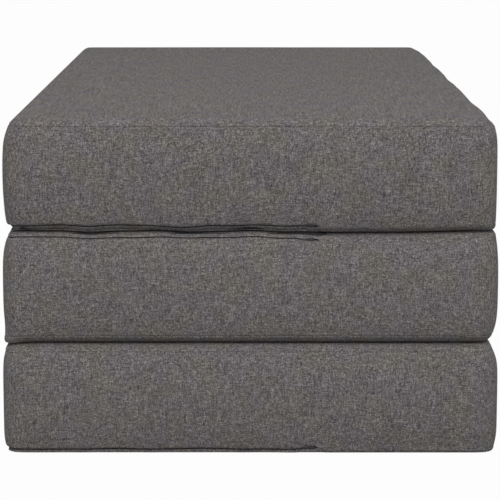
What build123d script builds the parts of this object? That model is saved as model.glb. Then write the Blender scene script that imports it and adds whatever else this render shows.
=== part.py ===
"""A folding foam sofa bed: three zipped cushions joined by cloth hinges, folded in a Z into one stack.

X runs along each cushion, from hinge end to hinge end, Y across the bed and Z up. The origin is on the
floor under the middle of the stack. The zips face -Y. All sizes are in millimetres.
"""

import math
import os
from build123d import *

os.makedirs("parts", exist_ok=True)

# One cushion, between its seams
cushion_length = 677.0
bed_width = 1372.0
cushion_height = 157.0
corner_radius = 26.0  # of the upright corners
edge_radius = 11.0  # of the edges of the two faces
side_bulge = 6.5
crown_rise = 5.0  # of the top face of the stack
crown_shoulder_inset = 60.0
crown_top_inset = 150.0
crown_corner_radius = 30.0
cover_wall = 2.0  # the cloth with its backing, thicker inside the hems and the band's bulge
hem_flats = 3  # on the inside of the thin hems by the zip
foam_ease = 1.0
comfort_height = 40.0
stack_gap = 0.3  # between one cushion and the next

# Cloth hinges at the ends
fold_clearance = 0.35
leaf_wall = 1.4
leaf_sewn = 7.0
leaf_end_inset = 30.0
leaf_tip_gap = 0.15

# Zip: a flap over two tapes, which each carry a row of coil
zip_end_x = 94.0
zip_room = 20.0  # cut off the foam's edge
crease_gap = 1.2
tape_wall = 0.6
tape_depth = 6.9  # from the cushion's side plane to the middle of the tapes
tape_tail = 12.0
tape_clearance = 0.25
tape_flat_reach = 4.2  # from the line of the zip to each tape's bend
band_tape_rise = 5.0
band_tape_sewn = 8.0
panel_tape_reach = 20.0
coil_width = 1.6
coil_wall = 1.8
coil_gap = 1.0
stop_length = 2.4
stop_clearance = 0.1

# Slider, and the mouth in the flap that it is reached through
slider_x = 84.0
slider_length = 9.5
slider_width = 7.2
slider_tail_width = 6.0
slider_nose_width = 3.2
slider_shoulder_length = 2.6
slider_nose_length = 1.2
slider_wall = 0.9
slider_flange = 0.8
slider_room = 2.6
tape_slot = 1.2
post_width = 0.6
post_length = 3.0
post_front_length = 0.75
post_inset = 0.8
bridge_length = 5.4
bridge_width = 1.6
bridge_wall = 0.5
bridge_foot = 0.5
mouth_length = 26.0
mouth_height = 5.4
mouth_offset = 6.5  # from the slider's middle

# Pull tab
pull_length = 16.0
pull_width = 4.4
pull_tip_width = 3.4
pull_wall = 0.8
pull_clearance = 0.15
pull_arm = 1.1
pull_eye_length = 3.2
pull_hole_radius = 0.8
pull_hole_inset = 2.4
pull_tip_radius = 1.2

overrun = 5.0  # of every cut past the piece

# Heights and places that follow from the sizes
half_length = cushion_length / 2
half_width = bed_width / 2
inner_radius = edge_radius - cover_wall
foam_inset = cover_wall + foam_ease
zip_height = edge_radius - crease_gap / 2
stack_pitch = cushion_height + stack_gap
mouth_x = slider_x - mouth_offset
row_end_x = slider_x + slider_length / 2 + stack_gap
plate_depth = tape_depth - slider_room / 2 - slider_wall
pull_depth = plate_depth - pull_clearance - pull_wall / 2
shoulder_share = (crown_top_inset - crown_shoulder_inset) / (crown_top_inset - edge_radius)
crown_shoulder = crown_rise * (1 - shoulder_share**2)


def end_path(z, side, start_x=0):
    """The outline from the front at start_x round one end, -1 left or 1 right, to the same x at the back."""
    with BuildLine(Plane.XY.offset(z)) as path:
        FilletPolyline(
            (start_x, -half_width),
            (side * half_length, -half_width),
            (side * half_length, half_width),
            (start_x, half_width),
            radius=corner_radius,
        )
    return path.wire()


def across_front(x, base, up):
    """An upright plane across the front edge: x points out of the cushion, y from its zipped face inwards."""
    return Plane(origin=(x, -half_width, base), x_dir=(0, -1, 0), z_dir=(-up, 0, 0))


def into_front(x, depth, base, up):
    """A plane facing into the front at a depth, with its origin on the line of the zip."""
    return Plane(origin=(x, depth - half_width, base + up * zip_height), x_dir=(1, 0, 0), z_dir=(0, 1, 0))


def at_height(base, up, height):
    """A level plane at a height above the zipped face, measured into the cushion."""
    return Plane.XY.offset(base + up * height)


def finish(part, label):
    """Name a piece and write it out."""
    part.label = label
    export_step(part, f"parts/{label}.step")


def hem_inside(span):
    """Points along the inside of a zipped-side hem, from the face round by span degrees in three flats."""
    middle = Vector(-edge_radius, edge_radius)
    foot = Vector(0, -inner_radius)
    return [middle + foot.rotate(Axis.Z, span * step / hem_flats) for step in range(hem_flats + 1)]


def crown_outlines(base, up, height):
    """The three outlines that a crown is lofted through, from its foot at a height to its flat top."""
    outlines = []
    for rise, inset, radius in (
        (0, edge_radius, corner_radius - edge_radius),
        (crown_shoulder, crown_shoulder_inset, crown_corner_radius),
        (crown_rise, crown_top_inset, crown_corner_radius),
    ):
        with BuildSketch(at_height(base, up, height + rise)) as outline:
            RectangleRounded(cushion_length - 2 * inset, bed_width - 2 * inset, radius)
        outlines.append(outline.sketch)
    return outlines


def build_under_panel(name, base, up):
    """The zipped face: a flat cloth panel whose hem turns up round the end that has no zip."""
    with BuildPart() as panel:
        with BuildSketch(at_height(base, up, 0)):
            RectangleRounded(
                cushion_length - 2 * edge_radius,
                bed_width - 2 * edge_radius,
                corner_radius - edge_radius,
            )
        extrude(amount=up * cover_wall)
        with BuildSketch(across_front(zip_end_x, base, up)):
            with BuildLine():
                hem = CenterArc((-edge_radius, edge_radius), edge_radius, -90, 90)
                Polyline(hem @ 0, *hem_inside(90), hem @ 1)
            make_face()
        sweep(path=end_path(base, 1, zip_end_x))
    finish(panel.part, f"{name}_under_panel")


def build_sleep_panel(name, base, up, crowned):
    """The sleeping face, with its rounded hem all round. The top one of the stack fills out to a low crown."""
    with BuildPart() as panel:
        with BuildSketch(at_height(base, up, cushion_height - cover_wall)):
            RectangleRounded(
                cushion_length - 2 * edge_radius,
                bed_width - 2 * edge_radius,
                corner_radius - edge_radius,
            )
        extrude(amount=up * cover_wall)
        if crowned:
            loft(sections=crown_outlines(base, up, cushion_height), ruled=True)
        for side in (-1, 1):
            with BuildSketch(across_front(0, base, up)):
                seam_height = cushion_height - edge_radius
                with BuildLine():
                    hem = CenterArc((-edge_radius, seam_height), edge_radius, 0, 90)
                    Polyline(
                        hem @ 0,
                        (-cover_wall, seam_height),
                        (-edge_radius, cushion_height - cover_wall),
                        hem @ 1,
                    )
                make_face()
            sweep(path=end_path(base, side))
    finish(panel.part, f"{name}_sleep_panel")


def build_side_band(name, base, up):
    """The boxing band round all four sides, bulged between its seams, with the zip's mouth in its edge."""
    with BuildPart() as band:
        for side in (-1, 1):
            with BuildSketch(across_front(0, base, up)):
                with BuildLine():
                    outside = ThreePointArc(
                        (0, edge_radius),
                        (side_bulge, cushion_height / 2),
                        (0, cushion_height - edge_radius),
                    )
                    Polyline(
                        outside @ 0,
                        (-cover_wall, edge_radius),
                        (-cover_wall, cushion_height - edge_radius),
                        outside @ 1,
                    )
                make_face()
            sweep(path=end_path(base, side))
        with BuildSketch(into_front(mouth_x, -overrun, base, up)):
            SlotOverall(mouth_length, mouth_height)
        extrude(amount=2 * overrun, mode=Mode.SUBTRACT)
    finish(band.part, f"{name}_side_band")


def build_zip_flap(name, base, up):
    """The hem over the zip, whose free edge stops short of the band and leaves the crease open."""
    with BuildPart() as flap:
        with BuildSketch(across_front(zip_end_x, base, up)):
            turn = 90 - math.degrees(math.asin(crease_gap / edge_radius))
            with BuildLine():
                hem = CenterArc((-edge_radius, edge_radius), edge_radius, -90, turn)
                Polyline(hem @ 0, *hem_inside(turn), hem @ 1)
            make_face()
        sweep(path=end_path(base, -1, zip_end_x))
        with BuildSketch(into_front(mouth_x, -overrun, base, up)):
            SlotOverall(mouth_length, mouth_height)
        extrude(amount=2 * overrun, mode=Mode.SUBTRACT)
    finish(flap.part, f"{name}_zip_flap")


def build_foam(name, base, up):
    """The firm slab, with its edge cut away for the zip, and the softer slab on its sleeping side."""
    comfort_foot = cushion_height - cover_wall - comfort_height
    slab = (
        cushion_length - 2 * foam_inset,
        bed_width - 2 * foam_inset,
        corner_radius - foam_inset,
    )
    with BuildPart() as support:
        with BuildSketch(at_height(base, up, cover_wall)):
            RectangleRounded(*slab)
        extrude(amount=up * (comfort_foot - cover_wall))
        zipped_face = support.faces().sort_by(Axis.Z)[0 if up > 0 else -1]
        chamfer(zipped_face.edges(), length=zip_room)
    finish(support.part, f"{name}_support_foam")
    with BuildPart() as comfort:
        with BuildSketch(at_height(base, up, comfort_foot)):
            RectangleRounded(*slab)
        extrude(amount=up * comfort_height)
        sleep_face = comfort.faces().sort_by(Axis.Z)[-1 if up > 0 else 0]
        chamfer(sleep_face.edges(), length=edge_radius - foam_inset)
    finish(comfort.part, f"{name}_comfort_foam")


def build_zip_tapes(name, base, up):
    """Two cloth tapes with a row of coil each: one is sewn inside the band, the other to the zipped face."""
    front = across_front(row_end_x, base, up)
    tape_front = across_front(zip_end_x + tape_tail, base, up)
    out = tape_wall / 2 - tape_depth
    back = out - tape_wall
    sewn = -cover_wall - tape_clearance
    bend = zip_height + tape_flat_reach
    sewn_foot = bend + band_tape_rise
    sewn_top = sewn_foot + band_tape_sewn
    with BuildPart() as band_tape:
        with BuildSketch(tape_front):
            with BuildLine():
                Polyline(
                    (out, zip_height + coil_gap / 2 + coil_width / 2),
                    (out, bend),
                    (sewn, sewn_foot),
                    (sewn, sewn_top),
                    (sewn - tape_wall, sewn_top),
                    (sewn - tape_wall, sewn_foot + tape_clearance),
                    (back, bend + tape_clearance),
                    (back, zip_height + coil_gap / 2 + coil_width / 2),
                    close=True,
                )
            make_face()
        sweep(path=end_path(base, -1, zip_end_x + tape_tail))
        with BuildSketch(front):
            with Locations((-tape_depth, zip_height + (coil_gap + coil_width) / 2)):
                Rectangle(coil_wall, coil_width)
        sweep(path=end_path(base, -1, row_end_x))
    finish(band_tape.part, f"{name}_band_zip_tape")
    low_bend = zip_height - tape_flat_reach
    floor = cover_wall + tape_clearance
    run_in = -tape_depth - (low_bend - floor)
    with BuildPart() as panel_tape:
        with BuildSketch(tape_front):
            with BuildLine():
                Polyline(
                    (out, zip_height - coil_gap / 2 - coil_width / 2),
                    (out, low_bend),
                    (run_in, floor),
                    (-panel_tape_reach, floor),
                    (-panel_tape_reach, floor + tape_wall),
                    (run_in - tape_clearance, floor + tape_wall),
                    (back, low_bend + tape_clearance),
                    (back, zip_height - coil_gap / 2 - coil_width / 2),
                    close=True,
                )
            make_face()
        sweep(path=end_path(base, -1, zip_end_x + tape_tail))
        with BuildSketch(front):
            with Locations((-tape_depth, zip_height - (coil_gap + coil_width) / 2)):
                Rectangle(coil_wall, coil_width)
        sweep(path=end_path(base, -1, row_end_x))
    finish(panel_tape.part, f"{name}_panel_zip_tape")


def build_zip_stops(name, base, up):
    """Metal stops crimped on the tapes: one past each row at the front, and one across both at the back."""
    row = (coil_gap + coil_width) / 2
    across_back = Plane(origin=(row_end_x, half_width, base), x_dir=(0, 1, 0), z_dir=(up, 0, 0))
    with BuildPart() as stops:
        with BuildSketch(across_front(row_end_x, base, up)):
            with Locations((-tape_depth, zip_height + row), (-tape_depth, zip_height - row)):
                Rectangle(coil_wall, coil_width)
            tape_slits(row)
        extrude(amount=-up * stop_length)
        with BuildSketch(across_back):
            with Locations((-tape_depth, zip_height)):
                Rectangle(coil_wall, coil_gap + 2 * coil_width)
            tape_slits(row)
        extrude(amount=up * stop_length)
    finish(stops.part, f"{name}_zip_stops")


def tape_slits(row):
    """The two slits that a stop grips its tapes in, cut from the sketch in hand."""
    slit = coil_width / 2 + stop_clearance
    shift = row + (coil_width - slit) / 2
    with Locations((-tape_depth, zip_height + shift), (-tape_depth, zip_height - shift)):
        Rectangle(tape_wall + 2 * stop_clearance, slit, mode=Mode.SUBTRACT)


def build_slider(name, base, up):
    """Two plates joined by a wedge-shaped post, with flanges round the coil and a bridge for the pull."""
    half = slider_length / 2
    shoulder = half - slider_nose_length
    with BuildPart() as slider:
        with BuildSketch(into_front(slider_x, plate_depth, base, up)):
            with BuildLine():
                Polyline(
                    (-half, -slider_tail_width / 2),
                    (shoulder - slider_shoulder_length, -slider_width / 2),
                    (shoulder, -slider_width / 2),
                    (half, -slider_nose_width / 2),
                    (half, slider_nose_width / 2),
                    (shoulder, slider_width / 2),
                    (shoulder - slider_shoulder_length, slider_width / 2),
                    (-half, slider_tail_width / 2),
                    close=True,
                )
            make_face()
        extrude(amount=slider_room + 2 * slider_wall)
        with BuildSketch(into_front(slider_x, tape_depth - tape_slot / 2, base, up)):
            Rectangle(slider_length + overrun, slider_width + overrun)
        extrude(amount=tape_slot, mode=Mode.SUBTRACT)
        with BuildSketch(into_front(slider_x, plate_depth + slider_wall, base, up)):
            Rectangle(slider_length + overrun, slider_tail_width - slider_flange)
        extrude(amount=slider_room, mode=Mode.SUBTRACT)
        with BuildSketch(into_front(slider_x + half - post_inset, plate_depth + slider_wall / 2, base, up)):
            with BuildLine():
                Polyline(
                    (0, 0),
                    (-post_front_length, post_width / 2),
                    (-post_length, 0),
                    (-post_front_length, -post_width / 2),
                    close=True,
                )
            make_face()
        extrude(amount=slider_room + slider_wall)
        bridge_depth = pull_depth - pull_wall / 2 - pull_clearance - bridge_wall
        with BuildSketch(into_front(slider_x, bridge_depth, base, up)):
            Rectangle(bridge_length, bridge_width)
        extrude(amount=plate_depth - bridge_depth)
        with BuildSketch(into_front(slider_x, bridge_depth + bridge_wall, base, up)):
            Rectangle(bridge_length - 2 * bridge_foot, bridge_width + overrun)
        extrude(amount=plate_depth - bridge_depth - bridge_wall, mode=Mode.SUBTRACT)
    finish(slider.part, f"{name}_zip_slider")


def build_pull(name, base, up):
    """A flat tab with a hole, on two arms whose round cross bar turns under the slider's bridge."""
    with BuildPart() as pull:
        with BuildSketch(into_front(slider_x, pull_depth - pull_wall / 2, base, up)) as tab:
            with BuildLine():
                Polyline(
                    (0, pull_width / 2),
                    (-pull_eye_length, pull_width / 2),
                    (-pull_length, pull_tip_width / 2),
                    (-pull_length, -pull_tip_width / 2),
                    (-pull_eye_length, -pull_width / 2),
                    (0, -pull_width / 2),
                    close=True,
                )
            make_face()
            fillet(tab.vertices().group_by(Axis.X)[0], radius=pull_tip_radius)
            with Locations((-pull_eye_length / 2, 0)):
                Rectangle(pull_eye_length, pull_width - 2 * pull_arm, mode=Mode.SUBTRACT)
            with Locations((pull_hole_inset - pull_length, 0)):
                Circle(pull_hole_radius, mode=Mode.SUBTRACT)
        extrude(amount=pull_wall)
        across = Plane(
            origin=(slider_x, pull_depth - half_width, base + up * zip_height - pull_width / 2),
            z_dir=(0, 0, 1),
        )
        with BuildSketch(across):
            Circle(pull_wall / 2)
        extrude(amount=pull_width)
    finish(pull.part, f"{name}_zip_pull")


def build_leaf(label, side, face_z, inwards):
    """One half of a cloth hinge: a strip sewn to the hem at an end, lying level with the cushion's face."""

    def hem_point(depth):
        return (math.sqrt(edge_radius**2 - (edge_radius - depth) ** 2) - edge_radius, depth)

    tip = side_bulge + fold_clearance - leaf_tip_gap
    sewn_depth = edge_radius - math.sqrt(edge_radius**2 - (edge_radius - leaf_sewn) ** 2)
    end = Plane(
        origin=(side * half_length, 0, face_z),
        x_dir=(side, 0, 0),
        z_dir=(0, -side * inwards, 0),
    )
    with BuildPart() as leaf:
        with BuildSketch(end):
            with BuildLine():
                Polyline(
                    hem_point(sewn_depth),
                    (-leaf_sewn, 0),
                    (tip, 0),
                    (tip, leaf_wall),
                    hem_point(leaf_wall),
                )
                ThreePointArc(
                    hem_point(leaf_wall),
                    hem_point((leaf_wall + sewn_depth) / 2),
                    hem_point(sewn_depth),
                )
            make_face()
        extrude(amount=half_width - leaf_end_inset, both=True)
    finish(leaf.part, label)


# The lower and upper cushions lie on their zipped faces and the middle one is turned over between them
cushions = [
    ("lower", 0, 1),
    ("middle", 2 * cushion_height + stack_gap, -1),
    ("upper", 2 * stack_pitch, 1),
]
for cushion, base, up in cushions:
    top_of_stack = cushion == "upper"
    build_under_panel(cushion, base, up)
    build_sleep_panel(cushion, base, up, top_of_stack)
    build_side_band(cushion, base, up)
    build_zip_flap(cushion, base, up)
    build_foam(cushion, base, up)
    build_zip_tapes(cushion, base, up)
    build_zip_stops(cushion, base, up)
    build_slider(cushion, base, up)
    build_pull(cushion, base, up)

build_leaf("left_hinge_lower_leaf", -1, cushion_height, -1)
build_leaf("left_hinge_middle_leaf", -1, stack_pitch, 1)
build_leaf("right_hinge_middle_leaf", 1, 2 * cushion_height + stack_gap, -1)
build_leaf("right_hinge_upper_leaf", 1, 2 * stack_pitch, 1)
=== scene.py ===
"""A folding sofa bed: three zipped foam cushions in grey linen, stacked in a Z."""

import math

import bpy
import numpy as np
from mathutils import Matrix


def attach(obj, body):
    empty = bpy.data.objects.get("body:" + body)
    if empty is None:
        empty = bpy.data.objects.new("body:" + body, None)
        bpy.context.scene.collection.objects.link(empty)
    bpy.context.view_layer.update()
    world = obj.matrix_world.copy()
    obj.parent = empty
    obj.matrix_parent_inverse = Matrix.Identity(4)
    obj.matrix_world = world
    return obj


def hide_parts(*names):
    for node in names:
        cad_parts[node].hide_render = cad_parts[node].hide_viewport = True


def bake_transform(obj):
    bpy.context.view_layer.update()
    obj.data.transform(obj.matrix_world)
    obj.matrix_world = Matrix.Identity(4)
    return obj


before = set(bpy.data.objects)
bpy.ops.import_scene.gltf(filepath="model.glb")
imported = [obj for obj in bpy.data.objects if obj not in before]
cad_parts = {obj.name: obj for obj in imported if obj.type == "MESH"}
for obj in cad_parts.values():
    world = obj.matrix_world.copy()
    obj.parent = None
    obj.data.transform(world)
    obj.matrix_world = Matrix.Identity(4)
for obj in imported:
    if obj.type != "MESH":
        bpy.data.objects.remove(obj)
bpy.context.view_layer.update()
scene = bpy.context.scene
scene.view_settings.view_transform = "Standard"


# The studio. A camera stands in front of the bed and a little above it, on a white floor that has
# no horizon in the picture. The light is even, with one broad lamp above the camera to shade the forms.
camera_data = bpy.data.cameras.new("camera")
camera_data.sensor_width = 36
camera_data.lens = 158.21
camera_data.shift_y = -0.05
camera_data.clip_end = 200
camera = bpy.data.objects.new("camera", camera_data)
scene.collection.objects.link(camera)
camera.location = (0.0, -3.6739, 0.7838)
camera.rotation_euler = (math.radians(90 - 8.735), 0, 0)
scene.camera = camera


class Value:
    """One socket of a material. Sums with it add Math nodes."""

    def __init__(self, finish, socket):
        self.finish = finish
        self.socket = socket

    def sum(self, operation, *others):
        return self.finish.node("ShaderNodeMath", {"operation": operation}, dict(enumerate(others)))

    def __add__(self, other):
        return self.sum("ADD", self, other)

    __radd__ = __add__

    def __mul__(self, other):
        return self.sum("MULTIPLY", self, other)

    __rmul__ = __mul__

    def __sub__(self, other):
        return self.sum("SUBTRACT", self, other)

    def __rsub__(self, other):
        return self.sum("SUBTRACT", other, self)

    def larger(self, other):
        return self.sum("MAXIMUM", self, other)

    def size(self):
        return self.sum("ABSOLUTE", self)

    def held(self, low, high):
        """The value as a share of the way from low to high, smoothed and held between 0 and 1."""
        settings = {"interpolation_type": "SMOOTHSTEP", "clamp": True}
        sockets = {"Value": self, "From Min": low, "From Max": high}
        return self.finish.node("ShaderNodeMapRange", settings, sockets)


class Finish:
    """A material that is put together node by node."""

    def __init__(self, name):
        self.material = bpy.data.materials.new(name)
        self.material.use_nodes = True
        self.nodes = self.material.node_tree.nodes
        self.links = self.material.node_tree.links
        self.shader = self.nodes["Principled BSDF"]
        self.output = self.nodes["Material Output"]

    def connect(self, value, socket):
        if isinstance(value, Value):
            self.links.new(value.socket, socket)
        else:
            socket.default_value = value

    def node(self, kind, settings=None, sockets=None, result=0):
        made = self.nodes.new(kind)
        for name, setting in (settings or {}).items():
            if name == "stops":
                ramp = made.color_ramp
                for place, colour in setting[1:-1]:
                    ramp.elements.new(place)
                for element, (place, colour) in zip(ramp.elements, setting):
                    element.position = place
                    element.color = (*colour, 1)
            else:
                setattr(made, name, setting)
        for name, value in (sockets or {}).items():
            self.connect(value, made.inputs[name])
        return Value(self, made.outputs[result])

    def set(self, **sockets):
        for name, value in sockets.items():
            self.connect(value, self.shader.inputs[name.replace("_", " ")])

    def place(self, *stretch):
        """Places on the object, in metres, stretched by three factors."""
        spot = self.node("ShaderNodeTexCoord", result="Object")
        return self.node("ShaderNodeMapping", {}, {"Vector": spot, "Scale": stretch})


# The camera sees the floor and the sky as white, while they light the bed with less.
floor_shown = 0.975
sky_light = 0.54
sky_shown = 1.0

floor_finish = Finish("studio_white")
floor_finish.set(Base_Color=(0.36, 0.36, 0.36, 1), Roughness=0.9)
seen = floor_finish.node("ShaderNodeLightPath", result="Is Camera Ray")
mirrored = floor_finish.node("ShaderNodeLightPath", result="Is Glossy Ray")
through = floor_finish.node("ShaderNodeLightPath", result="Is Transmission Ray")
white = floor_finish.node("ShaderNodeEmission", {}, {"Color": (1, 1, 1, 1), "Strength": 1.0})
plain = Value(floor_finish, floor_finish.shader.outputs[0])
direct = seen.larger(mirrored).larger(through)
shown = floor_finish.node("ShaderNodeMixShader", {}, {0: direct * floor_shown, 1: plain, 2: white})
floor_finish.links.new(shown.socket, floor_finish.output.inputs["Surface"])

bpy.ops.object.select_all(action="DESELECT")
bpy.ops.mesh.primitive_plane_add(size=160, location=(0, 40, -0.0006))
floor = bpy.context.object
floor.name = "studio_floor"
floor.data.materials.append(floor_finish.material)

world = bpy.data.worlds.new("studio_light")
world.use_nodes = True
world.node_tree.nodes["Background"].inputs["Color"].default_value = (1, 1, 1, 1)
sky_nodes, sky_links = world.node_tree.nodes, world.node_tree.links
sky_ray = sky_nodes.new("ShaderNodeLightPath")
sky_seen = sky_nodes.new("ShaderNodeMath")
sky_seen.operation = "MAXIMUM"
sky_strength = sky_nodes.new("ShaderNodeMapRange")
sky_strength.inputs["To Min"].default_value = sky_light
sky_strength.inputs["To Max"].default_value = sky_shown
sky_links.new(sky_ray.outputs["Is Camera Ray"], sky_seen.inputs[0])
sky_links.new(sky_ray.outputs["Is Transmission Ray"], sky_seen.inputs[1])
sky_links.new(sky_seen.outputs[0], sky_strength.inputs["Value"])
sky_links.new(sky_strength.outputs["Result"], sky_nodes["Background"].inputs["Strength"])
scene.world = world

lamp_data = bpy.data.lights.new("front_lamp", "AREA")
lamp_data.shape = "RECTANGLE"
lamp_data.size = 6.0
lamp_data.size_y = 3.6
lamp_data.energy = 265
lamp = bpy.data.objects.new("front_lamp", lamp_data)
scene.collection.objects.link(lamp)
lamp.location = (0.4, -5.6, 4.7)
lamp.rotation_euler = (math.radians(49), 0, 0)


# The linen. Smoke-grey cloth in a plain weave of uneven yarn, light and dark threads twisted
# together, so that it looks flecked and streaked both ways, with a fine raised texture. Along each
# seam, at a height that the cover's mesh keeps as "rise", it is puckered, and its colour is a little
# darker: painted shade of the seam's groove, with some of the thread's own darker tone.
thread_dark = (0.0460, 0.0402, 0.0404)
thread_middle = (0.1440, 0.1322, 0.1332)
thread_light = (0.332, 0.313, 0.314)
warm_tint = (1.0, 1.0, 0.90)
cool_tint = (0.975, 0.965, 1.0)
tint_share = 0.75
# How much a seam darkens the colour: painted shade of its groove, partly the thread's own tone
seam_shade_and_thread = (0.88, 0.88, 0.88)


def linen(name, dark, middle, light, seams):
    cloth = Finish(name)

    def noise(stretch, **sockets):
        return cloth.node("ShaderNodeTexNoise", {}, {"Vector": cloth.place(*stretch), **sockets})

    def tinted(colour, share, tint):
        settings = {"data_type": "RGBA", "blend_type": "MULTIPLY"}
        return cloth.node("ShaderNodeMix", settings, {0: share, 6: colour, 7: (*tint, 1)}, result=2)

    yarns = []
    for stretch in ((150, 950, 950), (950, 150, 950), (950, 950, 150)):
        yarns.append(noise(stretch, Scale=1.0, Detail=2.0, Roughness=0.55))
    slubs = []
    for stretch in ((60, 520, 520), (520, 24, 520), (520, 520, 50)):
        slubs.append(noise(stretch, Scale=1.0, Detail=1.0))
    fleck = noise((1, 1, 1), Scale=620.0, Detail=1.0, Roughness=0.6)
    blotch = noise((1, 1, 1), Scale=40.0, Detail=3.0)
    weave = sum(yarns)
    yarn = weave * 0.60 + slubs[0] * 0.20 + slubs[1] * 0.50 + slubs[2] * 0.28
    shade = (yarn + fleck * 0.5 + blotch * 0.03 - 1.655) * 1.2 + 0.5
    stops = [(0.12, dark), (0.5, middle), (0.88, light)]
    colour = cloth.node("ShaderNodeValToRGB", {"stops": stops}, {"Fac": shade})
    tint = noise((1, 1, 1), Scale=26.0, Detail=3.0)
    colour = tinted(colour, tint.held(0.46, 0.60) * tint_share, warm_tint)
    colour = tinted(colour, tint.held(0.54, 0.40) * tint_share, cool_tint)
    relief = weave * 0.5 + fleck * 0.3
    bump = cloth.node("ShaderNodeBump", {}, {"Strength": 0.5, "Distance": 0.0009, "Height": relief})
    if seams:
        rise = cloth.node("ShaderNodeAttribute", {"attribute_name": "rise"}, result="Fac")
        ripple = noise((1, 1, 0.2), Scale=110.0, Detail=1.0)
        pucker = 0
        for seam in seams:
            near = (rise - seam).size()
            # Painted shade: near each seam the colour is darkened as its groove would shade it, partly
            # also the thread's darker tone
            colour = tinted(colour, 1 - near.held(0.0003, 0.0012), seam_shade_and_thread)
            pucker = pucker + (1 - near.held(0.0, 0.0045)) * ripple
        sockets = {"Strength": 0.6, "Distance": 0.0016, "Height": pucker, "Normal": bump}
        bump = cloth.node("ShaderNodeBump", {}, sockets)
    cloth.set(Base_Color=colour, Roughness=0.92, Normal=bump)
    cloth.set(Sheen_Weight=0.03, Sheen_Roughness=0.5, Specular_IOR_Level=0.08)
    return cloth.material


# The covers. Each cushion wears one linen cover, cut as two faces and a band round the sides and
# sewn along the edges. Three sides of the under edge are a zip under a turned flap of the cloth.
# Heights are taken from the zipped face, which is the upper one on the cushion that is turned over.
cover_length = 0.677
cover_width = 1.372
cover_height = 0.157
plan_radius = 0.024
hem_height = 0.011
hem_depth = 0.014
hem_turns = (11, 17, 24, 31, 38, 45)
seam_rise = cover_height - hem_height

# How close the rows of the mesh stand along a face
edge_places = (0, 0.0033, 0.0066, 0.0100, 0.0140, 0.0200, 0.0280, 0.0380)
open_spacing = 0.015
mouth_places = (0.0685, 0.0725, 0.0790, 0.0855, 0.0880, 0.0935, 0.0960, 0.0990)

# The zip's crease, as places out from the side and up: under the flap, in the slit and on the lip
zip_rise = 0.0104
zip_end = 0.094
zip_over = 0.0025
zip_fade = 0.006
flap_edge = 0.0096
open_crease = [
    (-0.0010, flap_edge),
    (-0.0098, 0.0100),
    (-0.0098, 0.0112),
    (-0.0022, 0.0113),
    (-0.0004, 0.0120),
]
sewn_crease = [
    (-0.0001, flap_edge),
    (-0.0002, 0.0101),
    (-0.0003, 0.0104),
    (-0.0002, 0.0107),
    (0.0, 0.0112),
]
crease_middle = 0.0106
crease_half = 0.0008
lip_height = 0.0116
lip_span = 0.006
lip_draw = 0.0010

# The mouth at the zip's closed end, through which the pull swings out
mouth_middle = 0.0850
mouth_half = 0.0095
mouth_open = 0.0015
mouth_run = 0.010
mouth_level = 0.65

# Waves, draws and scallops, and how far from the seam each is felt
wave_lengths = ((0.31, 0.0006), (0.17, 0.0006), (0.105, 0.0006), (0.068, 0.0003))
wave_run = 0.016
roll_share = 0.8
belly_run = 0.02
belly_share = 0.8
sway_run = 0.030
crown_run = 0.150
draw_run = 0.060
draw_end = 0.070
rounded_height = 0.026
rounded_gap = 0.004
rounded_run = 0.050
scallop_places = (-0.884, -0.614, -0.344, 0.026, 0.366, 0.706)
scallop_height = 0.025
scallop_depth = 0.03
scallop_level = 0.9

# The simulated swell: where the cover is free, and the most that a point may move
swell_from = 0.020
swell_to = 0.137
swell_half_length = 0.310
swell_pressure = 4.0
swell_cap = 0.0020
swell_steps = 20


def eased(share):
    """The share held between 0 and 1, with a soft start and end."""
    share = np.clip(share, 0, 1)
    return share * share * (3 - 2 * share)


def fading(distance, span):
    """Full at no distance, and nothing at the span and past it."""
    return np.clip(1 - distance / span, 0, 1)


def spaced(half, extra=()):
    """Places along a face, close together at its ends and evenly apart in between."""
    steps = round((half - edge_places[-1]) / open_spacing)
    middle = np.linspace(edge_places[-1], half, steps + 1)[1:]
    inward = np.concatenate([edge_places, middle])
    return np.sort(np.concatenate([inward - half, (half - inward)[::-1][1:], extra]))


def hem_rows(turns, centre):
    """The outer half of a rounded hem, at so many degrees round it."""
    angles = np.radians(turns)
    return [(hem_depth * (math.cos(a) - 1), centre + hem_height * math.sin(a)) for a in angles]


def side_rows(crease):
    """How far out, and how high above the zipped face, each row of the side stands."""
    rows = hem_rows([-turn for turn in reversed(hem_turns)], hem_height) + crease
    rows += [(0.0, height) for height in np.linspace(0.0135, seam_rise - 0.0030, 14)]
    rows += [(0.0002, seam_rise - 0.0011), (-0.0011, seam_rise), (0.0002, seam_rise + 0.0011)]
    rows += hem_rows(hem_turns, seam_rise)
    return np.array(rows)


zipped_rows, plain_rows = side_rows(open_crease), side_rows(sewn_crease)


def divided_box(name, cells):
    """A cube with its edges along each axis cut into so many cells."""
    bpy.ops.object.select_all(action="DESELECT")
    bpy.ops.mesh.primitive_cube_add(size=2, location=(0, 0, 0))
    box = bpy.context.object
    box.name = name
    mesh = box.data
    for axis in range(3):
        points = np.array([v.co[:] for v in mesh.vertices])
        bpy.ops.object.mode_set(mode="EDIT")
        bpy.ops.mesh.select_mode(type="EDGE")
        bpy.ops.mesh.select_all(action="DESELECT")
        bpy.ops.object.mode_set(mode="OBJECT")
        for edge in mesh.edges:
            run = np.abs(points[edge.vertices[0]] - points[edge.vertices[1]])
            edge.select = bool(run[axis] > 0.5 * run.max() and run[axis] > 1e-4)
        bpy.ops.object.mode_set(mode="EDIT")
        bpy.ops.mesh.subdivide(number_cuts=cells[axis] - 1, quadcorner="STRAIGHT_CUT")
        bpy.ops.object.mode_set(mode="OBJECT")
    return box


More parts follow.
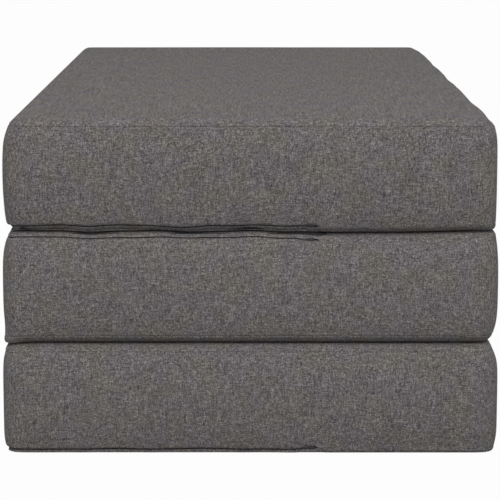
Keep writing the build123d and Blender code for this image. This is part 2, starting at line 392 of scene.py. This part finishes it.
def round_plan(x, y):
    """The places with the corners drawn in to round ones, and which way is outward from each."""
    in_x, in_y = cover_length / 2 - np.abs(x), cover_width / 2 - np.abs(y)
    corner = (in_x < plan_radius) & (in_y < plan_radius)
    from_x, from_y = plan_radius - in_x, plan_radius - in_y
    reach = np.maximum(np.hypot(from_x, from_y), 1e-9)
    out_x = np.where(corner, from_x / reach, np.where(in_x <= in_y, 1.0, 0.0)) * np.where(x < 0, -1, 1)
    out_y = np.where(corner, from_y / reach, np.where(in_x <= in_y, 0.0, 1.0)) * np.where(y < 0, -1, 1)
    inward = np.minimum(in_x, in_y)
    ring = plan_radius - inward
    centre_x = (cover_length / 2 - plan_radius) * np.sign(x)
    centre_y = (cover_width / 2 - plan_radius) * np.sign(y)
    plan_x = np.where(corner, centre_x + out_x * ring, x)
    plan_y = np.where(corner, centre_y + out_y * ring, y)
    return plan_x, plan_y, out_x, out_y, inward


def by_end(ends, values):
    """A size that differs from end to end, blended round the corners."""
    return sum(share * values.get(end, 0.0) for end, share in ends.items())


def zip_waves(x, y, seed):
    """Chance waves along the zip: of its height, of the flap's tuck and of the side's belly."""
    # The distance along the zip, from the front round the left end to the back
    at_back = (y > 0.6) & (x > -0.33)
    along = np.where(at_back, y + x + cover_length, y - x)
    rng = np.random.default_rng(seed)
    waves = np.zeros((3, len(x)))
    for length, lift in wave_lengths:
        phases = rng.uniform(0, 2 * math.pi, 3)
        for wave, quickness, phase in zip(waves, (1, 1.13, 0.71), phases):
            wave += lift * np.sin(2 * math.pi * along / length * quickness + phase)
    return waves


def side_shape(x, y, row, ends, wave, roll, shape):
    """The band, with the zip's open crease as far as its closed end and a sewn one past it."""
    zipped = eased((zip_end + zip_over - x) / zip_fade)
    u = zipped * zipped_rows[row, 0] + (1 - zipped) * plain_rows[row, 0]
    h = zipped * zipped_rows[row, 1] + (1 - zipped) * plain_rows[row, 1]
    on_flap = h < zip_rise - 0.0001
    in_crease = (h > crease_middle - crease_half) & (h < crease_middle + crease_half)
    narrowed = shape["gape"] * zipped + 1 - zipped
    h = np.where(in_crease, crease_middle + (h - crease_middle) * narrowed, h)
    band = np.abs(2 * np.clip((h - hem_height) / (seam_rise - hem_height), 0, 1) - 1)
    u = u + by_end(ends, shape["bulge"]) * (1 - band ** by_end(ends, shape["fullness"]))
    flap = np.where(on_flap, np.clip(h / shape["flap_foot"], 0, 1), 0.0) * zipped
    u = u - flap * (by_end(ends, shape["tuck"]) + np.abs(roll) * roll_share)
    u = u - fading(np.abs(h - lip_height), lip_span) * zipped * (1 - on_flap) * lip_draw

    # The mouth at the zip's closed end is a lens, and the zip runs nearly level by it
    lens = np.clip(1 - ((x - mouth_middle) / mouth_half) ** 2, 0, 1) * (y < 0)
    h = h - np.where(on_flap, lens * mouth_open * h / flap_edge, 0.0)
    h = h + np.where(on_flap, 0.0, lens * mouth_open * fading(h - zip_rise, mouth_run))
    unlevel = 1 - mouth_level * eased(2 - np.abs(x - mouth_middle) / mouth_half) * (y < 0)
    strayed = (wave * shape["waviness"] * zipped - shape["drop"]) * unlevel
    return u, h, h + strayed * fading(np.abs(h - zip_rise), wave_run)


def face_shape(inward, sleep_face, crown):
    """The inner half of each hem, then the flat, which may fill out to a crown."""
    turn = np.arctan2(hem_depth, hem_depth - np.minimum(inward, hem_depth))
    hem_u = hem_depth * (np.cos(turn) - 1)
    h = hem_height * (1 - np.sin(turn))
    h = np.where(sleep_face, cover_height - h, h)
    fill = 1 - np.clip((crown_run - inward) / (crown_run - hem_depth), 0, 1) ** 2
    h = h + np.where(sleep_face, crown * fill, 0.0)
    u = inward + hem_u * (inward < hem_depth) - inward * (inward >= hem_depth)
    return u, h


def pile_sway(x, y, inward, face_gap, lean):
    """How far the line between two cushions strays up or down, near it."""
    return fading(face_gap, sway_run) * fading(inward, sway_run) * lean(x, y)


def filled_out(cover, free):
    """A cloth simulation swells the cover where it is free, between its seams, by less than the cap."""
    held = cover.vertex_groups.new(name="held")
    tenths = np.rint((1 - free) * 10).astype(int)
    for level in range(11):
        held.add(np.nonzero(tenths == level)[0].tolist(), level / 10, "REPLACE")
    filling = cover.modifiers.new("filling", "CLOTH")
    filling.settings.vertex_group_mass = held.name
    filling.settings.use_pressure = True
    filling.settings.uniform_pressure_force = swell_pressure
    filling.settings.effector_weights.gravity = 0
    filling.settings.quality = 4
    for number in range(1, swell_steps + 1):
        scene.frame_set(number)
    swollen = cover.evaluated_get(bpy.context.evaluated_depsgraph_get()).data
    count = len(cover.data.vertices) * 3
    before, after = np.empty(count, "f"), np.empty(count, "f")
    cover.data.vertices.foreach_get("co", before)
    swollen.vertices.foreach_get("co", after)
    moved = (after - before).reshape(-1, 3)
    far = np.linalg.norm(moved, axis=1, keepdims=True)
    capped = moved / (1 + far / swell_cap)
    cover.modifiers.remove(filling)
    cover.vertex_groups.remove(held)
    cover.data.vertices.foreach_set("co", before + capped.ravel())
    scene.frame_set(1)


def sewn_cover(name, shape):
    """One cover: a finely cut box whose points are moved out by u and up by h, then filled out."""
    columns_x, columns_y = spaced(cover_length / 2, mouth_places), spaced(cover_width / 2)
    cells = (len(columns_x) - 1, len(columns_y) - 1, len(zipped_rows) - 1)
    cover = divided_box(f"{name}_cover", cells)
    mesh = cover.data
    unit = np.array([v.co[:] for v in mesh.vertices])
    step = [np.rint((unit[:, a] + 1) / 2 * cells[a]).astype(int) for a in range(3)]
    on_side = (step[0] == 0) | (step[0] == cells[0]) | (step[1] == 0) | (step[1] == cells[1])
    sleep_face = step[2] == cells[2]
    x, y, out_x, out_y, inward = round_plan(columns_x[step[0]], columns_y[step[1]])
    from_edge = np.where(on_side, 0.0, inward)
    ends = {
        "left": np.clip(-out_x, 0, 1) ** 2,
        "right": np.clip(out_x, 0, 1) ** 2,
        "front": np.clip(-out_y, 0, 1) ** 2,
        "back": np.clip(out_y, 0, 1) ** 2,
        "corner": 2 * np.abs(out_x * out_y) * (out_y < 0),
    }
    wave, roll, sway = zip_waves(x, y, shape["seed"])
    side_u, sewn_h, side_h = side_shape(x, y, step[2], ends, wave, roll, shape)
    face_u, face_h = face_shape(inward, sleep_face, shape["crown"])
    u = np.where(on_side, side_u, face_u)
    h = np.where(on_side, side_h, face_h)

    # Drawn in or filled out near each face, more at some ends than at others
    by_hem = fading(from_edge - hem_depth, draw_run) ** 2
    for face, gap in (("zip", h), ("sleep", cover_height - h)):
        for end, (amount, span) in shape["drawn"][face].items():
            near = fading(gap, span) ** 2 * by_hem
            near = np.where(on_side | (inward < plan_radius), near, near * (inward < draw_end))
            u = u - ends[end] * amount * near

    # The hem past the zip's closed end is round, and the top's right edge is scalloped
    past_zip = eased((x - zip_end - rounded_gap) / rounded_run) * ends["front"] * by_hem
    hem_only = fading(h, rounded_height) * np.clip(h / shape["round_foot"], 0, 1)
    u = u - shape["rounded"] * past_zip * hem_only
    scallops = np.abs(np.sin(math.pi * np.interp(y, scallop_places, range(len(scallop_places)))))
    scalloped = ends["right"] * shape["scallop"] * (scallops - scallop_level)
    u = u + scalloped * fading(cover_height - h, scallop_height) * (from_edge < scallop_depth)
    belly = np.clip(h / belly_run, 0, 1) * np.clip((cover_height - h) / belly_run, 0, 1)
    u = u + belly * sway * belly_share * (1 - ends["left"])

    # Moved up or down with the line between this cushion and the next
    zip_lean, sleep_lean = shape["leans"]
    lift = pile_sway(x, y, from_edge, h, zip_lean)
    lift = lift + pile_sway(x, y, from_edge, cover_height - h, sleep_lean)
    z = shape["base"] + shape["up"] * h + lift
    mesh.vertices.foreach_set("co", np.stack([x + out_x * u, y + out_y * u, z], 1).ravel())
    kept = mesh.attributes.new("rise", "FLOAT", "POINT")
    kept.data.foreach_set("value", np.where(on_side, sewn_h, face_h))
    bpy.ops.object.mode_set(mode="EDIT")
    bpy.ops.mesh.select_all(action="SELECT")
    bpy.ops.mesh.normals_make_consistent(inside=False)
    bpy.ops.object.mode_set(mode="OBJECT")
    bpy.ops.object.shade_smooth()

    # Free to swell: the middle of the front and back, and the top where nothing lies on it
    free_side = eased((h - swell_from) / 0.02) * eased((swell_to - h) / 0.02)
    free_side = free_side * eased((swell_half_length - np.abs(x)) / 0.03)
    free_side = free_side * (ends["front"] + ends["back"] > 0.9)
    free_top = eased((from_edge - swell_from) / 0.03) * sleep_face * (shape["crown"] > 0)
    filled_out(cover, np.where(on_side, free_side, free_top))
    smooth = cover.modifiers.new("rounding", "SUBSURF")
    smooth.levels = smooth.render_levels = 1
    bpy.ops.object.modifier_apply(modifier="rounding")
    return cover


def no_lean(x, y):
    return 0.0 * x


def upper_lean(x, y):
    """The line between the upper and middle cushions wavers over the zips and rises at the right."""
    wavy = 0.0014 * np.sin(44.5 * x + 1.8) + 0.0006 * np.sin(97 * x + 1.0)
    low = 0.0013 + 0.0026 * eased((x - 0.06) / 0.06)
    return wavy * eased((0.10 - x) / 0.04) - low + 0.0028 * eased((x - 0.20) / 0.12)


def lower_lean(x, y):
    """The line between the middle and lower cushions drops at the left, where the hinge cloth lies."""
    return -0.0042 * np.clip((-0.296 - x) / 0.04, 0, 1) ** 2


# Each cushion in the pile. Its zipped face is at the height "base", and "up" says which way it lies.
# "bulge" is how far each end stands out, the flatter the greater its "fullness". "drawn" gives, for
# each face and end, how far its edge is drawn in and over what height. The flap is tucked in by
# "tuck" from the height "flap_foot" on, "gape" is how open its crease stays, and "drop" is how low
# it lies. "leans" are the lines where the cushion lies on others: at its zipped face and the other.
cushions = {
    "lower": {
        "base": 0.0,
        "up": 1,
        "crown": 0.0,
        "bulge": {"left": 0.0077, "right": 0.0081, "front": 0.0065, "back": 0.0065},
        "fullness": {"left": 6, "right": 6, "front": 2.8, "back": 2.8},
        "drawn": {
            "zip": {"left": (-0.009, 0.045), "right": (-0.0065, 0.050)},
            "sleep": {"left": (-0.0065, 0.040), "front": (0.0065, 0.022), "back": (0.0065, 0.022)},
        },
        "rounded": 0.0030,
        "round_foot": 0.012,
        "tuck": {"left": 0.0115, "front": 0.0056, "back": 0.0056},
        "flap_foot": flap_edge,
        "gape": 0.08,
        "scallop": 0.0,
        "drop": 0.0032,
        "waviness": 0.8,
        "leans": (no_lean, lower_lean),
        "seed": 11,
    },
    "middle": {
        "base": 0.3143,
        "up": -1,
        "crown": 0.0,
        "bulge": {"left": 0.0056, "right": 0.0060, "front": 0.0065, "back": 0.0065},
        "fullness": {"left": 4, "right": 4, "front": 2.8, "back": 2.8},
        "drawn": {
            "zip": {
                "left": (0.0005, 0.060),
                "right": (-0.004, 0.040),
                "front": (0.0055, 0.013),
                "back": (0.0055, 0.013),
            },
            "sleep": {
                "left": (-0.0105, 0.030),
                "right": (0.003, 0.020),
                "front": (0.0065, 0.022),
                "back": (0.0065, 0.022),
            },
        },
        "rounded": 0.0025,
        "round_foot": 0.0001,
        "tuck": {"left": 0.0015, "front": 0.0010, "back": 0.0010},
        "flap_foot": flap_edge,
        "gape": 0.03,
        "scallop": 0.0,
        "drop": 0.0034,
        "waviness": 0.5,
        "leans": (upper_lean, lower_lean),
        "seed": 5,
    },
    "upper": {
        "base": 0.3146,
        "up": 1,
        "crown": 0.0033,
        "bulge": {"left": 0.0038, "right": 0.0044, "front": 0.0065, "back": 0.0065},
        "fullness": {"left": 2, "right": 6, "front": 2.8, "back": 2.8},
        "drawn": {
            "zip": {"right": (-0.0050, 0.042), "front": (0.0055, 0.013), "back": (0.0055, 0.013)},
            "sleep": {
                "left": (0.010, 0.040),
                "right": (0.017, 0.0135),
                "front": (0.0025, 0.020),
                "back": (0.0025, 0.020),
                "corner": (0.012, 0.030),
            },
        },
        "rounded": 0.0045,
        "round_foot": 0.0001,
        "tuck": {"left": 0.0085, "front": 0.0036, "back": 0.0036},
        "flap_foot": 0.0030,
        "gape": 0.03,
        "scallop": 0.0042,
        "drop": 0.0012,
        "waviness": 1.1,
        "leans": (upper_lean, no_lean),
        "seed": 23,
    },
}
cover_linen = linen("smoke_linen", thread_dark, thread_middle, thread_light, (seam_rise, zip_rise))
for name, shape in cushions.items():
    cover = sewn_cover(name, shape)
    cover.data.materials.append(cover_linen)
    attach(cover, f"{name}_cushion")
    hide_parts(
        f"{name}_sleep_panel",
        f"{name}_side_band",
        f"{name}_under_panel",
        f"{name}_zip_flap",
    )


# The hinge cloths. A doubled strip of the same linen joins each pair of cushions end to end. It is
# sewn to both hems, folds into a loop between them in the pile and lies across the joint in the bed.
strip_wall = 0.0008
strip_half_gap = 0.00045
strip_foot = -0.0120
strip_tip = 0.0058
strip_half_length = 0.656
strip_tuck_run = 0.080
strip_steps = 32
strip_arc_steps = 12
strip_along_steps = 164
lower_fold_height = cover_height + 0.00015
upper_fold_height = 2 * cover_height + 0.00045


def hinge_cloth(side, end, height, tucked_tip, under, over):
    """One strip. Its loop is tucked in to tucked_tip, from the seam, at its two ends."""
    bpy.ops.object.select_all(action="DESELECT")
    bpy.ops.mesh.primitive_grid_add(
        x_subdivisions=strip_steps,
        y_subdivisions=strip_along_steps,
        size=2,
        location=(0, 0, 0),
    )
    strip = bpy.context.object
    strip.name = f"{side}_hinge_cloth"
    mesh = strip.data
    unit = np.array([v.co[:] for v in mesh.vertices])
    y = unit[:, 1] * strip_half_length
    half_steps, half_arc = strip_steps / 2, strip_arc_steps / 2
    share = np.rint((unit[:, 0] + 1) / 2 * strip_steps) - half_steps
    run = np.clip((np.abs(share) - half_arc) / (half_steps - half_arc), 0, 1)
    turn = np.clip(share / half_arc, -1, 1) * math.pi / 2
    at_end = eased((strip_half_length - np.abs(y)) / strip_tuck_run)
    tip = tucked_tip + (strip_tip - tucked_tip) * at_end + 0.0006 * np.sin(31 * y + 1.0) * at_end
    bend = tip - strip_half_gap
    u = bend + (strip_foot - bend) * run + strip_half_gap * np.cos(turn) * (run == 0)
    z = height + strip_half_gap * np.sin(turn)
    seam_x = end * cover_length / 2
    mesh.vertices.foreach_set("co", np.stack([seam_x + end * u, y, z], 1).ravel())
    wall = strip.modifiers.new("doubled cloth", "SOLIDIFY")
    wall.thickness = strip_wall
    wall.offset = 0
    bpy.ops.object.modifier_apply(modifier=wall.name)
    bpy.ops.object.mode_set(mode="EDIT")
    bpy.ops.mesh.select_all(action="SELECT")
    bpy.ops.mesh.normals_make_consistent(inside=False)
    bpy.ops.object.mode_set(mode="OBJECT")
    bpy.ops.object.shade_smooth()
    strip.data.materials.append(hinge_linen)
    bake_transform(strip)
    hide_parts(f"{side}_hinge_{under}_leaf", f"{side}_hinge_{over}_leaf")


hinge_linen = linen("hinge_linen", thread_dark, thread_middle, thread_light, ())
hinge_cloth("left", -1, lower_fold_height, 0.0015, "lower", "middle")
hinge_cloth("right", 1, upper_fold_height, -0.0035, "middle", "upper")


# The foam. Each cushion holds a firm slab of pale polyether foam with a softer one glued on it.
# The firm slab's outer edge is cut off at a slant, clear of the zip, and the soft one's is rounded.
foam_inset = 0.0130
foam_foot = 0.002
foam_head = 0.0045
foam_corner = 0.024
soft_height = 0.040
firm_cut = 0.019
soft_rounding = 0.012


def foam(name, pale, deep):
    slab = Finish(name)
    cells = slab.node("ShaderNodeTexVoronoi", {}, {"Vector": slab.place(1, 1, 1), "Scale": 700.0})
    colour = slab.node("ShaderNodeValToRGB", {"stops": [(0.1, deep), (0.7, pale)]}, {"Fac": cells})
    bump = slab.node("ShaderNodeBump", {}, {"Strength": 0.5, "Distance": 0.001, "Height": cells})
    slab.set(Base_Color=colour, Roughness=0.95, Normal=bump)
    return slab.material


def chosen_edges(slab, wanted):
    """Selects the slab's edges whose two ends answer wanted."""
    bpy.ops.object.mode_set(mode="EDIT")
    bpy.ops.mesh.select_mode(type="EDGE")
    bpy.ops.mesh.select_all(action="DESELECT")
    bpy.ops.object.mode_set(mode="OBJECT")
    points = slab.data.vertices
    for edge in slab.data.edges:
        edge.select = wanted(*(points[v].co for v in edge.vertices))
    bpy.ops.object.mode_set(mode="EDIT")


def foam_slab(name, kind, faces, outer, rounding, segments, skin):
    """A slab between two heights, faces, with the edge of its outer face taken off."""
    base, up = cushions[name]["base"], cushions[name]["up"]
    low, high = sorted(base + up * face for face in faces)
    outer_z = base + up * outer
    size = (cover_length - 2 * foam_inset, cover_width - 2 * foam_inset, high - low)
    bpy.ops.object.select_all(action="DESELECT")
    bpy.ops.mesh.primitive_cube_add(size=1, location=(0, 0, 0))
    slab = bpy.context.object
    slab.name = f"{name}_{kind}_slab"
    bpy.ops.object.mode_set(mode="EDIT")
    bpy.ops.transform.resize(value=size)
    bpy.ops.transform.translate(value=(0, 0, (low + high) / 2))
    chosen_edges(slab, lambda a, b: abs(a.z - b.z) > (high - low) / 2)
    bpy.ops.mesh.bevel(offset=foam_corner, segments=5)
    bpy.ops.object.mode_set(mode="OBJECT")
    chosen_edges(slab, lambda a, b: abs(a.z - outer_z) < 1e-5 and abs(b.z - outer_z) < 1e-5)
    bpy.ops.mesh.bevel(offset=rounding, segments=segments)
    bpy.ops.object.mode_set(mode="OBJECT")
    bpy.ops.object.shade_smooth_by_angle(angle=math.radians(25))
    slab.data.materials.append(skin)
    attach(slab, f"{name}_cushion")
    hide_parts(f"{name}_{kind}")


firm_foam = foam("firm_foam", (0.85, 0.83, 0.74), (0.6, 0.57, 0.47))
soft_foam = foam("soft_foam", (0.78, 0.84, 0.88), (0.5, 0.58, 0.64))
foam_top = cover_height - foam_head
foam_join = foam_top - soft_height
for name in cushions:
    foam_slab(name, "support_foam", (foam_foot, foam_join), foam_foot, firm_cut, 1, firm_foam)
    foam_slab(name, "comfort_foam", (foam_join, foam_top), foam_top, soft_rounding, 4, soft_foam)


# The zips. Each is two black cloth tapes with a nylon coil on the edge of each, a metal slider with
# its pull tab, and metal stops at its ends. Here the coils' turns go round the cores of the rows.
coil_path_depth = 0.0069
coil_row_shift = 0.0013
coil_start_x = 0.089
coil_corner = 0.0191
coil_pitch = 0.0024
coil_radius = 0.00095
coil_wire = 0.00022
coil_lean = math.radians(78)


def zip_path(name, z):
    """A curve along one row of coil, from the front round the left end to the back."""
    half_x, half_y = cover_length / 2 - coil_path_depth, cover_width / 2 - coil_path_depth
    centre_x, centre_y = coil_corner - half_x, coil_corner - half_y
    points = [(coil_start_x, -half_y)]
    for turn in np.linspace(-math.pi / 2, -math.pi, 9):
        points.append((centre_x + coil_corner * math.cos(turn), centre_y + coil_corner * math.sin(turn)))
    points += [(x, -y) for x, y in reversed(points)]
    curve = bpy.data.curves.new(name, "CURVE")
    curve.dimensions = "3D"
    spline = curve.splines.new("POLY")
    spline.points.add(len(points) - 1)
    for point, (x, y) in zip(spline.points, points):
        point.co = (x, y, z, 1)
    path = bpy.data.objects.new(name, curve)
    scene.collection.objects.link(path)
    return path


def coil_row(name, body, z):
    path = zip_path(f"{name}_path", z)
    bpy.ops.object.select_all(action="DESELECT")
    bpy.ops.mesh.primitive_torus_add(
        major_segments=7,
        minor_segments=3,
        major_radius=coil_radius,
        minor_radius=coil_wire,
        location=(0, 0, 0),
        rotation=(0, coil_lean, 0),
    )
    coil = bpy.context.object
    coil.name = name
    bpy.ops.object.transform_apply(location=True, rotation=True, scale=True)
    turns = coil.modifiers.new("turns", "ARRAY")
    turns.fit_type = "FIT_CURVE"
    turns.curve = path
    turns.use_relative_offset = False
    turns.use_constant_offset = True
    turns.constant_offset_displace = (coil_pitch, 0, 0)
    round_path = coil.modifiers.new("round the cushion", "CURVE")
    round_path.object = path
    bpy.ops.object.modifier_apply(modifier="turns")
    bpy.ops.object.modifier_apply(modifier="round the cushion")
    bpy.data.objects.remove(path)
    bpy.ops.object.shade_smooth()
    coil.data.materials.append(coil_nylon.material)
    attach(coil, body)


coil_nylon = Finish("coil_nylon")
coil_spots = coil_nylon.place(1, 1, 1)
scuffed = coil_nylon.node("ShaderNodeTexNoise", {}, {"Vector": coil_spots, "Scale": 1500.0})
coil_stops = [(0.35, (0.018, 0.018, 0.019)), (0.75, (0.05, 0.05, 0.052))]
coil_shade = coil_nylon.node("ShaderNodeValToRGB", {"stops": coil_stops}, {"Fac": scuffed})
coil_nylon.set(Base_Color=coil_shade, Roughness=0.45)
for name, shape in cushions.items():
    for row, shift in (("band", coil_row_shift), ("panel", -coil_row_shift)):
        z = shape["base"] + shape["up"] * (zip_rise + shift)
        coil_row(f"{name}_{row}_coil", f"{name}_cushion", z)

tape_cloth = linen("zip_tape", (0.01, 0.01, 0.01), (0.028, 0.028, 0.03), (0.06, 0.06, 0.062), ())
zip_metal = Finish("black_zip_metal")
metal_spots = zip_metal.place(1, 1, 1)
worn = zip_metal.node("ShaderNodeTexNoise", {}, {"Vector": metal_spots, "Scale": 900.0})
metal_stops = [(0.45, (0.02, 0.02, 0.022)), (0.8, (0.12, 0.12, 0.125))]
rubbed = zip_metal.node("ShaderNodeValToRGB", {"stops": metal_stops}, {"Fac": worn})
zip_metal.set(Base_Color=rubbed, Metallic=0.6, Roughness=0.38)
zip_skins = {"tape": tape_cloth}
for metal_part in ("stops", "slider", "pull"):
    zip_skins[metal_part] = zip_metal.material
for node_name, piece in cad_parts.items():
    skin = zip_skins.get(node_name.split("_")[-1])
    if skin:
        piece.data.materials.clear()
        piece.data.materials.append(skin)
